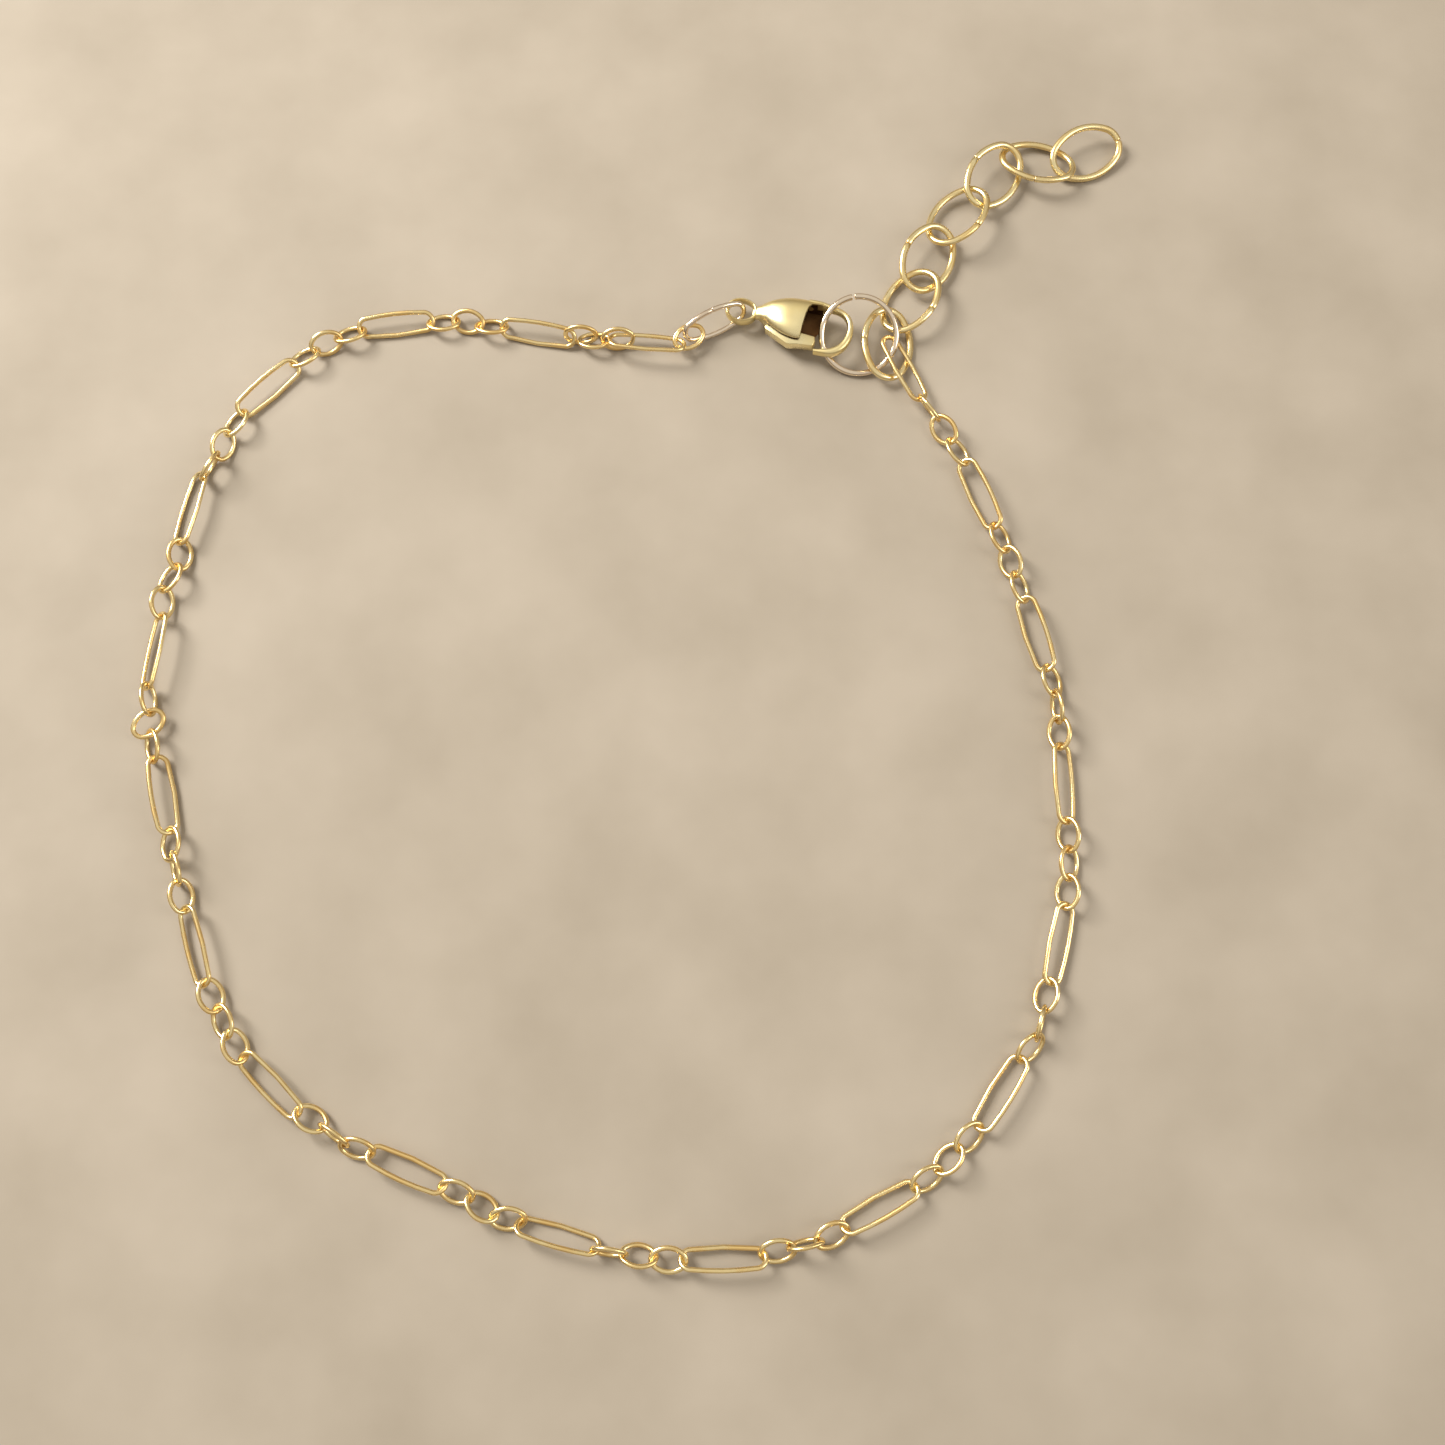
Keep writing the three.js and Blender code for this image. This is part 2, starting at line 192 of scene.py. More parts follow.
class LaidLink:
    """One link where it lies: its size, turn, middle line and centre."""

    def __init__(
        self, size: LinkSize, row: tuple[float, float, float, float], lift: float = 0.0,
        height: float | None = None,
    ) -> None:
        """Lay a link on the floor, or fix it at a height.

        Args:
            size: the link.
            row: x, y, heading and roll.
            lift: height above where it would rest.
            height: height of its centre, for a ring that stays where it is put.
        """
        x, y, heading, roll = row
        self.size = size
        self.turn = turned(heading, roll)
        self.path = middle_line(size) @ np.array(self.turn.to_3x3()).T
        self.rest = size.wire / 2 + size.half_width * abs(math.sin(math.radians(roll)))
        self.fixed = height is not None
        self.centre = np.array([x, y, self.rest + lift if height is None else height])

    def nearest(self, other: "LaidLink") -> tuple[np.ndarray, float]:
        """Way from this link's middle line to another's where they are nearest.

        Args:
            other: the other link.

        Returns:
            The vector between the nearest points and its length.
        """
        gaps = other.path[None] + (other.centre - self.centre) - self.path[:, None]
        squares = np.einsum("ijk,ijk->ij", gaps, gaps)
        best = np.unravel_index(int(squares.argmin()), squares.shape)
        return gaps[best], math.sqrt(squares[best])

    @property
    def place(self) -> Matrix:
        """The link's place, from millimetres in its own frame to metres."""
        return Matrix.Scale(MM, 4) @ Matrix.Translation(Vector(self.centre)) @ self.turn


class Layout:
    """The whole bracelet as it lies: the chain, the extender and both rings."""

    def __init__(self) -> None:
        """Lay every link by its row and settle them against each other."""
        rows = [(SMALL_LINK, FIRST_LINK)]
        for long_row, *small_rows in CHAIN_ROWS:
            rows.append((LONG_LINK, long_row))
            rows.extend((SMALL_LINK, row) for row in small_rows)
        self.chain = [LaidLink(size, row, HELD_UP.get(i, 0.0)) for i, (size, row) in enumerate(rows)]
        self.extender = [LaidLink(EXTENDER_LINK, row) for row in EXTENDER_ROWS]
        self.jump_ring = LaidLink(
            JUMP_RING, (*JUMP_RING_PLACE[:2], *JUMP_RING_TURN), height=JUMP_RING_PLACE[2])
        self.oval_ring = LaidLink(
            OVAL_RING, (*OVAL_RING_PLACE[:2], *OVAL_RING_TURN), height=OVAL_RING_PLACE[2])
        self._settle(self._pairs())

    def _pairs(self) -> list[tuple[LaidLink, LaidLink, float]]:
        """List the links that may touch.

        Returns:
            Two links and the gap between their wires, for each pair.
        """
        pairs = []
        for step in (1, 2):
            pairs += [(a, b, TOUCH) for a, b in zip(self.chain, self.chain[step:])]
        pairs += [(a, b, PIECE_GAP) for a, b in zip(self.extender, self.extender[1:])]
        last = self.chain[-1]
        pairs += [(a, self.jump_ring, PIECE_GAP) for a in (self.extender[0], self.extender[1], last)]
        pairs += [(a, self.oval_ring, PIECE_GAP) for a in self.chain[:2]]
        pairs.append((last, self.extender[0], PIECE_GAP))
        return pairs

    @staticmethod
    def _settle(pairs: list[tuple[LaidLink, LaidLink, float]]) -> None:
        """Push links apart until no pair is nearer than it may be, keeping them on the floor.

        Args:
            pairs: two links and the gap between their wires.
        """
        for _ in range(SETTLE_PASSES):
            for a, b, gap in pairs:
                least = (a.size.wire + b.size.wire) / 2 + gap
                way, distance = a.nearest(b)
                if distance >= least:
                    continue
                push = way * (least - distance) / max(distance, LEAST_DISTANCE)
                if not a.fixed:
                    a.centre = a.centre - push * (1.0 if b.fixed else 0.5)
                if not b.fixed:
                    b.centre = b.centre + push * (1.0 if a.fixed else 0.5)
                for link in (a, b):
                    if not link.fixed:
                        link.centre[2] = max(link.centre[2], link.rest)


# Bent wire

class Seam(Enum):
    """Where a link's wire starts and ends, as the direction from its middle."""

    NEAR_SIDE = 0
    HEAD = 1
    FAR_SIDE = 2
    TAIL = 3


@dataclass(frozen=True)
class WireCut:
    """How the two ends of a link's wire meet.

    Args:
        seam: where they meet.
        gap: width of the cut between them.
        turn: how far a round ring is turned about its own axis.
    """

    seam: Seam = Seam.NEAR_SIDE
    gap: float = 0.0
    turn: float = 0.0


class WireLoop:
    """Wire bent into a link by spinning its section through one arc after another.

    A round ring has four arcs. Any other link has five, because the arc at the seam is split in two.
    """

    SIDES = 14
    FACET = 6.0
    RIM = 0.12
    RIM_STEPS = 2
    LEAST_STEPS = 2

    def __init__(self, size: LinkSize, cut: WireCut, flat: float = 1.0, broad: float = 1.0) -> None:
        """Take the link's size, its cut and how its wire is squashed.

        Args:
            size: the link.
            cut: how its wire's ends meet.
            flat: the wire's thickness across the link's plane, over the link's wire size.
            broad: the wire's width in the link's plane, over the same.
        """
        self.size = size
        self.cut = cut
        self.section = Matrix.Diagonal((flat, broad, 1, 1))

    def _arcs(self) -> list[tuple[float, float]]:
        """Work out the arcs of the wire's middle line.

        Returns:
            Radius and sweep of each arc, beginning at the seam.
        """
        a, b, end = self.size.half_length, self.size.half_width, self.size.end_radius
        if b - end < LEAST_DISTANCE:
            return [(b, math.pi / 2)] * 4
        side = ((a - end) ** 2 + b * b - end * end) / (2 * (b - end))
        lean = math.atan2(a - end, side - b)
        if self.cut.seam in (Seam.NEAR_SIDE, Seam.FAR_SIDE):
            arcs = [(side, lean), (end, math.pi - 2 * lean), (side, 2 * lean)]
            return arcs + [(end, math.pi - 2 * lean), (side, lean)]
        arcs = [(end, math.pi / 2 - lean), (side, 2 * lean), (end, math.pi - 2 * lean)]
        return arcs + [(side, 2 * lean), (end, math.pi / 2 - lean)]

    def _start(self) -> Matrix:
        """Work out where the wire starts.

        Returns:
            Place of the first section: its x along the wire, y towards the link's middle.
        """
        a, b = self.size.half_length, self.size.half_width
        turn = self.cut.seam.value * math.pi / 2 + math.radians(self.cut.turn)
        reach = a if self.cut.seam in (Seam.HEAD, Seam.TAIL) else b
        return Matrix.Rotation(turn, 4, "Z") @ Matrix.Translation((0, -reach, 0))

    def build(self) -> bmesh.types.BMesh:
        """Bend the wire.

        Returns:
            The closed link in its own plane, in millimetres.
        """
        wire = bmesh.new()
        disc = bmesh.ops.create_circle(wire, segments=self.SIDES, radius=self.size.wire / 2)
        stand = Matrix.Rotation(math.pi / 2, 4, "Y") @ self.section
        bmesh.ops.transform(wire, matrix=stand, verts=disc["verts"])
        first = list(wire.edges)
        ring: list = list(wire.verts) + first
        arcs = self._arcs()
        for i, (radius, sweep) in enumerate(arcs):
            if i == len(arcs) - 1:
                sweep -= self.cut.gap / radius
            steps = max(self.LEAST_STEPS, round(math.degrees(sweep) / self.FACET))
            spun = bmesh.ops.spin(
                wire, geom=ring, cent=(0, radius, 0), axis=(0, 0, 1), angle=sweep, steps=steps)
            ring = spun["geom_last"]
            back = (
                Matrix.Translation((0, radius, 0))
                @ Matrix.Rotation(-sweep, 4, "Z")
                @ Matrix.Translation((0, -radius, 0))
            )
            bmesh.ops.transform(wire, matrix=back, verts=wire.verts)
        return self._closed(wire, first, ring)

    def _closed(self, wire: bmesh.types.BMesh, first: list, ring: list) -> bmesh.types.BMesh:
        """Join the wire's ends, or cap them where the link has a cut.

        Args:
            wire: the bent wire, turned so that its last section is at the start.
            first: edges of its first section.
            ring: vertices and edges of its last section.

        Returns:
            The closed mesh, seam in place.
        """
        whole = Matrix.Identity(4)
        if self.cut.gap:
            last = [e for e in ring if isinstance(e, bmesh.types.BMEdge)]
            caps = []
            for rim in (first, last):
                caps += bmesh.ops.contextual_create(wire, geom=rim)["faces"]
            rims = list({e for cap in caps for e in cap.edges})
            bmesh.ops.bevel(
                wire, geom=rims, offset=self.size.wire * self.RIM, offset_type="OFFSET",
                segments=self.RIM_STEPS, profile=0.5, affect="EDGES", material=-1)
            # The last section is at the origin now, so the wire is turned back by the gap.
            radius = self._arcs()[-1][0]
            whole = (
                Matrix.Translation((0, radius, 0))
                @ Matrix.Rotation(-self.cut.gap / radius, 4, "Z")
                @ Matrix.Translation((0, -radius, 0))
            )
        else:
            bmesh.ops.remove_doubles(wire, verts=wire.verts, dist=MERGE_GAP)
        bmesh.ops.transform(wire, matrix=self._start() @ whole, verts=wire.verts)
        bmesh.ops.recalc_face_normals(wire, faces=wire.faces)
        for face in wire.faces:
            face.smooth = True
        return wire


# Finishes

@dataclass(frozen=True)
class GoldFinish:
    """Gold plated metal with light handling wear, or a painted shade laid out the same way.

    Args:
        name: the material's name.
        bright: colour of the clean polished metal.
        deep: colour where the polish has dulled.
        roughness: mean roughness.
        spread: how far the roughness varies about it.
        cloud: size of the cloudy tone changes, in millimetres.
        grain: size of the fine satin grain, in millimetres.
        relief: height of the grain, in millimetres.
    """

    name: str
    bright: tuple[float, float, float]
    deep: tuple[float, float, float]
    roughness: float
    spread: float
    cloud: float
    grain: float
    relief: float


CHAIN_GOLD = GoldFinish(
    "chain_gold", (0.97, 0.80, 0.43), (0.84, 0.60, 0.25),
    0.26, 0.12, 1.6, 0.10, 0.0014)
EXTENDER_GOLD = GoldFinish(
    "extender_gold", (0.97, 0.83, 0.48), (0.87, 0.67, 0.31),
    0.27, 0.12, 2.2, 0.12, 0.0016)
RING_GOLD = GoldFinish(
    "ring_gold", (0.95, 0.84, 0.68), (0.86, 0.72, 0.56),
    0.14, 0.08, 2.2, 0.12, 0.0012)
CLASP_GOLD = GoldFinish(
    "clasp_gold_satin", (0.95, 0.84, 0.50), (0.86, 0.72, 0.36),
    0.32, 0.12, 1.8, 0.09, 0.0022)
# Painted shade, not a real finish: a near-black colour for the faces inside the clasp's hollow, standing in
# for the shadow there.
HOLLOW_PAINTED_SHADE = GoldFinish(
    "clasp_hollow_painted_shade", (0.11, 0.055, 0.022), (0.06, 0.03, 0.012),
    0.50, 0.12, 1.2, 0.09, 0.003)


class PolishGroup:
    """Shader node group that gives gold its cloudy tone, uneven gloss and fine grain."""

    NAME = "worn_polish"
    CLOUD_DETAIL = 3.0
    GRAIN_DETAIL = 2.0
    GRAIN_ROUGHNESS = 0.6
    PATCH_FROM = 0.36
    PATCH_TO = 0.64
    GRAIN_SHARE = 0.6
    MEAN_WEAR = 0.8

    def __init__(self) -> None:
        """Build the group once."""
        self.tree = bpy.data.node_groups.new(self.NAME, "ShaderNodeTree")
        self._sockets()
        self._nodes()

    def _sockets(self) -> None:
        """Name the group's inputs and outputs."""
        faces = self.tree.interface
        for name, kind in (
            ("Bright", "NodeSocketColor"), ("Deep", "NodeSocketColor"), ("Roughness", "NodeSocketFloat"),
            ("Spread", "NodeSocketFloat"), ("Cloud Scale", "NodeSocketFloat"),
            ("Grain Scale", "NodeSocketFloat"),
        ):
            faces.new_socket(name=name, in_out="INPUT", socket_type=kind)
        for name, kind in (
            ("Colour", "NodeSocketColor"), ("Gloss", "NodeSocketFloat"), ("Grain", "NodeSocketFloat"),
        ):
            faces.new_socket(name=name, in_out="OUTPUT", socket_type=kind)

    def _nodes(self) -> None:
        """Lay out the noise, the tone mix and the gloss."""
        nodes, links = self.tree.nodes, self.tree.links
        given = nodes.new("NodeGroupInput")
        put = nodes.new("NodeGroupOutput")
        where = nodes.new("ShaderNodeTexCoord")

        cloud = nodes.new("ShaderNodeTexNoise")
        cloud.inputs["Detail"].default_value = self.CLOUD_DETAIL
        links.new(where.outputs["Object"], cloud.inputs["Vector"])
        links.new(given.outputs["Cloud Scale"], cloud.inputs["Scale"])

        grain = nodes.new("ShaderNodeTexNoise")
        grain.inputs["Detail"].default_value = self.GRAIN_DETAIL
        grain.inputs["Roughness"].default_value = self.GRAIN_ROUGHNESS
        links.new(where.outputs["Object"], grain.inputs["Vector"])
        links.new(given.outputs["Grain Scale"], grain.inputs["Scale"])

        patch = nodes.new("ShaderNodeMapRange")
        patch.inputs["From Min"].default_value = self.PATCH_FROM
        patch.inputs["From Max"].default_value = self.PATCH_TO
        links.new(cloud.outputs["Fac"], patch.inputs["Value"])

        tone = nodes.new("ShaderNodeMix")
        tone.data_type = "RGBA"
        links.new(patch.outputs["Result"], tone.inputs["Factor"])
        links.new(given.outputs["Bright"], tone.inputs["A"])
        links.new(given.outputs["Deep"], tone.inputs["B"])
        links.new(tone.outputs["Result"], put.inputs["Colour"])

        fine = nodes.new("ShaderNodeMath")
        fine.operation = "MULTIPLY_ADD"
        fine.inputs[1].default_value = self.GRAIN_SHARE
        links.new(grain.outputs["Fac"], fine.inputs[0])
        links.new(patch.outputs["Result"], fine.inputs[2])
        centred = nodes.new("ShaderNodeMath")
        centred.operation = "SUBTRACT"
        centred.inputs[1].default_value = self.MEAN_WEAR
        links.new(fine.outputs[0], centred.inputs[0])
        gloss = nodes.new("ShaderNodeMath")
        gloss.operation = "MULTIPLY_ADD"
        links.new(centred.outputs[0], gloss.inputs[0])
        links.new(given.outputs["Spread"], gloss.inputs[1])
        links.new(given.outputs["Roughness"], gloss.inputs[2])
        links.new(gloss.outputs[0], put.inputs["Gloss"])
        links.new(grain.outputs["Fac"], put.inputs["Grain"])


class GoldSmith:
    """Makes a material of each gold finish, with the polish group inside."""

    def __init__(self) -> None:
        """Build the shared polish group."""
        self.polish = PolishGroup()
        self.made: dict[str, bpy.types.Material] = {}

    def material(self, finish: GoldFinish) -> bpy.types.Material:
        """Give the material of a finish, making it on first use.

        Args:
            finish: the finish.

        Returns:
            The material.
        """
        if finish.name in self.made:
            return self.made[finish.name]
        material = bpy.data.materials.new(finish.name)
        material.use_nodes = True
        nodes, links = material.node_tree.nodes, material.node_tree.links
        shader = nodes["Principled BSDF"]
        shader.inputs["Metallic"].default_value = 1.0
        polish = nodes.new("ShaderNodeGroup")
        polish.node_tree = self.polish.tree
        polish.inputs["Bright"].default_value = (*finish.bright, 1)
        polish.inputs["Deep"].default_value = (*finish.deep, 1)
        polish.inputs["Roughness"].default_value = finish.roughness
        polish.inputs["Spread"].default_value = finish.spread
        polish.inputs["Cloud Scale"].default_value = 1 / (finish.cloud * MM)
        polish.inputs["Grain Scale"].default_value = 1 / (finish.grain * MM)
        bump = nodes.new("ShaderNodeBump")
        bump.inputs["Strength"].default_value = 1.0
        bump.inputs["Distance"].default_value = finish.relief * MM
        links.new(polish.outputs["Grain"], bump.inputs["Height"])
        links.new(polish.outputs["Colour"], shader.inputs["Base Color"])
        links.new(polish.outputs["Gloss"], shader.inputs["Roughness"])
        links.new(bump.outputs["Normal"], shader.inputs["Normal"])
        self.made[finish.name] = material
        return material


# Placing pieces

class Slot(Enum):
    """Material slots of the record."""

    GOLD = "gold"
    PALE_GOLD = "pale_gold"
    CLASP_GOLD = "clasp_gold"


class Body(Enum):
    """Bodies of the record."""

    BRACELET = "bracelet"
    LEVER = "lever"


def set_piece(
    name: str, mesh: bmesh.types.BMesh, finishes: tuple[bpy.types.Material, ...],
    body: Body = Body.BRACELET, replaces: tuple[str, ...] = (), sharp: float | None = None,
) -> bpy.types.Object:
    """Make an object of a finished bmesh, already in place, and attach it to its body.

    Args:
        name: the piece's name.
        mesh: its mesh, in metres and in place; it is freed here.
        finishes: its finishes, in the order of its faces' material numbers.
        body: the body that carries it.
        replaces: names of the CAD nodes that it stands for.
        sharp: angle above which an edge stays sharp, or None for the faces' own shading.

    Returns:
        The object.
    """
    data = bpy.data.meshes.new(name)
    mesh.to_mesh(data)
    mesh.free()
    for finish in finishes:
        data.materials.append(finish)
    if sharp is not None:
        data.shade_smooth()
        data.set_sharp_from_angle(angle=math.radians(sharp))
    piece = bpy.data.objects.new(name, data)
    bpy.context.scene.collection.objects.link(piece)
    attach(piece, body.value)
    if replaces:
        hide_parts(*replaces)
    LOG.info("%s: %d faces", name, len(data.polygons))
    return piece


# Chain, extender and rings

@dataclass
class Chain:
    """The fine chain: every link a loop of its own, hooked through its neighbours.

    Args:
        links: the links where they lie.
        smith: maker of the finishes.
        broad: the wire's width in each link's plane, over the link's wire size.
    """

    links: list[LaidLink]
    smith: GoldSmith
    broad: float = 1.12

    def build(self) -> None:
        """Bend one link of each size and lay copies of it along the chain."""
        patterns = {}
        for size in (SMALL_LINK, LONG_LINK):
            wire = WireLoop(size, WireCut(), broad=self.broad).build()
            patterns[size] = bpy.data.meshes.new("pattern")
            wire.to_mesh(patterns[size])
            wire.free()
        chain = bmesh.new()
        for link in self.links:
            before = len(chain.verts)
            chain.from_mesh(patterns[link.size])
            chain.verts.ensure_lookup_table()
            bmesh.ops.transform(chain, matrix=link.place, verts=chain.verts[before:])
        for pattern in patterns.values():
            bpy.data.meshes.remove(pattern)
        set_piece("chain_links", chain, (self.smith.material(CHAIN_GOLD),), replaces=("chain",))


@dataclass
class Extender:
    """Seven bigger oval links, each cut and closed on its own seam.

    Args:
        links: the links where they lie.
        smith: maker of the finishes.
        flat: the wire's thickness across each link's plane, over the link's wire size.
        broad: the wire's width in each link's plane, over the same.
        cuts: how each link's wire ends meet.
    """

    links: list[LaidLink]
    smith: GoldSmith
    flat: float = 0.94
    broad: float = 1.12
    cuts: list[WireCut] = field(default_factory=lambda: [
        WireCut(Seam.FAR_SIDE, 0.03), WireCut(Seam.NEAR_SIDE, 0.03), WireCut(Seam.FAR_SIDE, 0.03),
        WireCut(Seam.NEAR_SIDE, 0.03), WireCut(Seam.FAR_SIDE, 0.03), WireCut(Seam.NEAR_SIDE, 0.03),
        WireCut(Seam.HEAD, 0.05),
    ])

    def build(self) -> None:
        """Bend each link in place."""
        for i, (link, cut) in enumerate(zip(self.links, self.cuts), start=1):
            wire = WireLoop(link.size, cut, self.flat, self.broad).build()
            bmesh.ops.transform(wire, matrix=link.place, verts=wire.verts)
            set_piece(
                f"extender_wire_{i}", wire, (self.smith.material(EXTENDER_GOLD),),
                replaces=(f"extender_link_{i}",))


@dataclass
class Rings:
    """The big jump ring and the narrow oval ring, both of paler wire.

    Args:
        jump: the jump ring where it lies.
        oval: the oval ring where it lies.
        smith: maker of the finishes.
        jump_cut: how the jump ring's ends meet.
        oval_cut: how the oval ring's ends meet.
    """

    jump: LaidLink
    oval: LaidLink
    smith: GoldSmith
    jump_cut: WireCut = WireCut(Seam.FAR_SIDE, 0.16, 11.0)
    oval_cut: WireCut = WireCut(Seam.FAR_SIDE, 0.04)

    def build(self) -> None:
        """Bend both rings in place."""
        for name, link, cut in (
            ("jump_ring", self.jump, self.jump_cut), ("oval_ring", self.oval, self.oval_cut),
        ):
            wire = WireLoop(link.size, cut).build()
            bmesh.ops.transform(wire, matrix=link.place, verts=wire.verts)
            set_piece(
                f"{name}_wire", wire, (self.smith.material(RING_GOLD),), replaces=(name,))


# Clasp

@dataclass(frozen=True)
class ShellStation:
    """One section across the shell.

    Args:
        x: where it stands along the clasp.
        low: the shell's near edge there.
        high: the shell's far edge there.
        half: half the shell's thickness there.
    """

    x: float
    low: float
    high: float
    half: float


@dataclass(frozen=True)
class HookStation:
    """One section of the hook.

    Args:
        x: where it stands along the clasp.
        y: where it stands across the clasp.
        width: its width in the clasp's plane.
        height: its height out of that plane.
    """

    x: float
    y: float
    width: float
    height: float


def eased_rows(rows: list[tuple[float, ...]], steps: int) -> list[tuple[float, ...]]:
    """Fill in rows of values along a smooth curve through the given ones.

    Args:
        rows: values to pass through, in order.
        steps: how many steps each span gets.

    Returns:
        The given rows with the filled-in ones between them.
    """
    table = np.array(rows, dtype=float)
    table = np.vstack([2 * table[0] - table[1], table, 2 * table[-1] - table[-2]])
    filled = []
    for before, start, end, after in zip(table, table[1:], table[2:], table[3:]):
        for step in range(steps):
            t = step / steps
            filled.append(tuple(0.5 * (
                2 * start + (end - before) * t + (2 * before - 5 * start + 4 * end - after) * t * t
                + (3 * start - before - 3 * end + after) * t ** 3)))
    return filled + [tuple(table[-2])]


@dataclass
class LobsterClasp:
    """Lobster clasp: hollow shell with an eye and a hook, and the lever that closes it.

    Args:
        smith: maker of the finishes.
        eye_middle: the eye's centre.
        eye_half: half length and half width of the eye band's middle line.
        eye_band: the band's width, over that half size.
        eye_height: the band's height.
        hollow_half: half height of the shell's hollow.
        neck_end: the hollow's corners before this x are lower than the rest.
        neck_slim: their height, over the others' height.
        square: how square the drawn sections are: 2 is an ellipse.
        lever_half: half the lever's thickness.
        lever_round: how far the lever's edges are rounded.
        edge: how far the shell's cut edges are rounded.
        cutter_height: how far the mouth's cutter reaches above the middle plane.
    """

    smith: GoldSmith
    eye_middle: tuple[float, float] = (0.03, -0.13)
    eye_half: tuple[float, float] = (0.99, 0.8)
    eye_band: float = 0.28
    eye_height: float = 0.74
    hollow_half: float = 0.62
    neck_end: float = 3.0
    neck_slim: float = 0.84
    square: float = 2.7
    lever_half: float = 0.37
    lever_round: float = 0.07
    edge: float = 0.045
    cutter_height: float = 3.0

    SHELL = [
        ShellStation(0.86, -0.52, 0.34, 0.26), ShellStation(1.25, -0.47, 0.48, 0.38),
        ShellStation(1.7, -0.74, 0.78, 0.6), ShellStation(2.2, -1.14, 1.03, 0.84),
        ShellStation(3.0, -1.54, 1.29, 0.99), ShellStation(3.8, -1.77, 1.39, 1.0),
        ShellStation(4.4, -1.74, 1.41, 0.98), ShellStation(4.9, -1.36, 1.41, 0.92),
        ShellStation(5.25, -1.0, 1.4, 0.86), ShellStation(5.5, -0.6, 1.39, 0.8),
    ]
    MOUTH = [
        (5.1, 0.98), (4.74, 0.93), (4.56, 0.7), (4.45, 0.1), (4.39, -0.8), (4.36, -1.45), (4.2, -1.95),
        (4.2, -3), (6.5, -3), (6.5, 0.98),
    ]
    HOLLOW = [
        (2.1, -3), (2.1, -0.5), (2.5, 0.15), (3.2, 0.5), (3.9, 0.92), (4.4, 0.98), (6.5, 0.98), (6.5, -3),
    ]
    HOOK = [
        HookStation(4.5, 1.17, 0.4, 1.5), HookStation(5.2, 1.19, 0.4, 1.4), HookStation(5.8, 1.19, 0.38, 1.0),
        HookStation(6.35, 1.13, 0.35, 0.7), HookStation(6.9, 0.95, 0.38, 0.62),
        HookStation(7.31, 0.6, 0.42, 0.62), HookStation(7.55, 0.02, 0.4, 0.64),
        HookStation(7.55, -0.7, 0.46, 0.66), HookStation(7.35, -1.3, 0.52, 0.68),
        HookStation(7.02, -1.72, 0.56, 0.7), HookStation(6.56, -1.98, 0.52, 0.68),
        HookStation(6.0, -2.08, 0.4, 0.64), HookStation(5.42, -2.13, 0.26, 0.58),
    ]
    LEVER = [
        (2.6, -0.5), (3.4, -0.6), (4.4, -1.08), (5.32, -1.18), (5.42, -1.5), (5.34, -1.9), (4.2, -1.96),
        (3.8, -2.05), (3.55, -2.06), (2.7, -1.64), (1.9, -1.25), (1.86, -1.0),
    ]
    SHELL_SIDES = 40
    HOOK_SIDES = 20
    EYE_SIDES = 16
    EYE_STEPS = 48
    FILL = 4
    SHELL_EDGE_STEPS = 2
    LEVER_EDGE_STEPS = 3
    CUT_ANGLE = 50
    SHELL_SHARP = 35
    DRAWN_SHARP = 60
    LEVER_SHARP = 30

    @property
    def place(self) -> Matrix:
        """The clasp's place, from millimetres in its own frame to metres."""
        turn = turned(CLASP_HEADING, 0, CLASP_RISE)
        return Matrix.Scale(MM, 4) @ Matrix.Translation(CLASP_PLACE) @ turn

    @staticmethod
    def _plate(outline: list[tuple[float, float]], low: float, high: float) -> bmesh.types.BMesh:
        """A flat plate of this outline.

        Args:
            outline: its corners.
            low: height of its underside.
            high: height of its top.

        Returns:
            The closed plate.
        """
        plate = bmesh.new()
        face = plate.faces.new([plate.verts.new((x, y, low)) for x, y in outline])
        raised = bmesh.ops.extrude_face_region(plate, geom=[face])["geom"]
        top = [g for g in raised if isinstance(g, bmesh.types.BMVert)]
        bmesh.ops.translate(plate, vec=(0, 0, high - low), verts=top)
        bmesh.ops.recalc_face_normals(plate, faces=plate.faces)
        return plate

    @staticmethod
    def _drawn(sides: int, square: float, frames: list[Matrix]) -> bmesh.types.BMesh:
        """Draw a rounded square section through a row of frames.

        Args:
            sides: how many sides the section has.
            square: how square it is: 2 is an ellipse.
            frames: place and size of every section; the section stands across its x.

        Returns:
            The closed mesh.
        """
        drawn = bmesh.new()
        disc = bmesh.ops.create_circle(drawn, segments=sides, radius=1.0)
        for vert in disc["verts"]:
            bulge = (abs(vert.co.x) ** square + abs(vert.co.y) ** square) ** (-1 / square)
            vert.co *= bulge
        stand = Matrix.Rotation(math.pi / 2, 4, "Z") @ Matrix.Rotation(math.pi / 2, 4, "X")
        bmesh.ops.transform(drawn, matrix=frames[0] @ stand, verts=drawn.verts)
        rim = list(drawn.edges)
        bmesh.ops.contextual_create(drawn, geom=rim)
        for before, after in zip(frames, frames[1:]):
            made = bmesh.ops.extrude_edge_only(drawn, edges=rim)["geom"]
            verts = [g for g in made if isinstance(g, bmesh.types.BMVert)]
            rim = [g for g in made if isinstance(g, bmesh.types.BMEdge)]
            bmesh.ops.transform(drawn, matrix=after @ before.inverted(), verts=verts)
        bmesh.ops.contextual_create(drawn, geom=rim)
        bmesh.ops.recalc_face_normals(drawn, faces=drawn.faces)
        return drawn

    @staticmethod
    def _as_object(name: str, mesh: bmesh.types.BMesh, finish: bpy.types.Material) -> bpy.types.Object:
        """Put a bmesh into a passing object for modifiers.

        Args:
            name: the object's name.
            mesh: its mesh; it is freed here.
            finish: its material.

        Returns:
            The object.
        """
        data = bpy.data.meshes.new(name)
        mesh.to_mesh(data)
        mesh.free()
        data.materials.append(finish)
        made = bpy.data.objects.new(name, data)
        bpy.context.scene.collection.objects.link(made)
        return made

